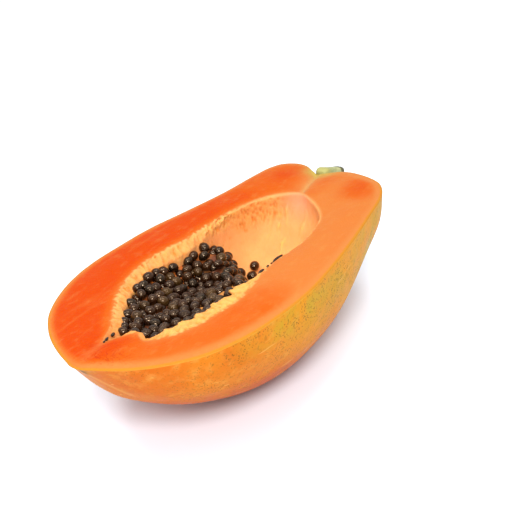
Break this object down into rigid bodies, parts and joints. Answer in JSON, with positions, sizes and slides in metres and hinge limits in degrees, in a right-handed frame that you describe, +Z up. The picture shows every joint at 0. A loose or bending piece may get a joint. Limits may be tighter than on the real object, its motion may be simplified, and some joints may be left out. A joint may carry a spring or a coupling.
{
  "type": "half papaya",
  "caption": "Half of a ripe papaya cut lengthwise, lying cut face up, with black seeds in its hollow and a stub of stalk.",
  "frame": {"origin": "on the surface the fruit rests on, under the middle of its box", "axes": "+X from the blossom end to the stalk, +Z up, square to the cut face, which lies level"},
  "size_m": [0.2388, 0.1287, 0.0705],
  "materials": {
    "fruit": "moist orange flesh inside, satin yellow-orange skin outside",
    "stalk": "matt pale green with a dark cut end",
    "seeds": "wet glossy dark brown"
  },
  "bodies": {
    "root": {"fruit_half": "fruit", "stem_stub": "stalk", "seed_bunch": "seeds", "loose_seed_1": "seeds", "loose_seed_2": "seeds", "loose_seed_3": "seeds", "loose_seed_4": "seeds", "loose_seed_5": "seeds"}
  },
  "joints": []
}
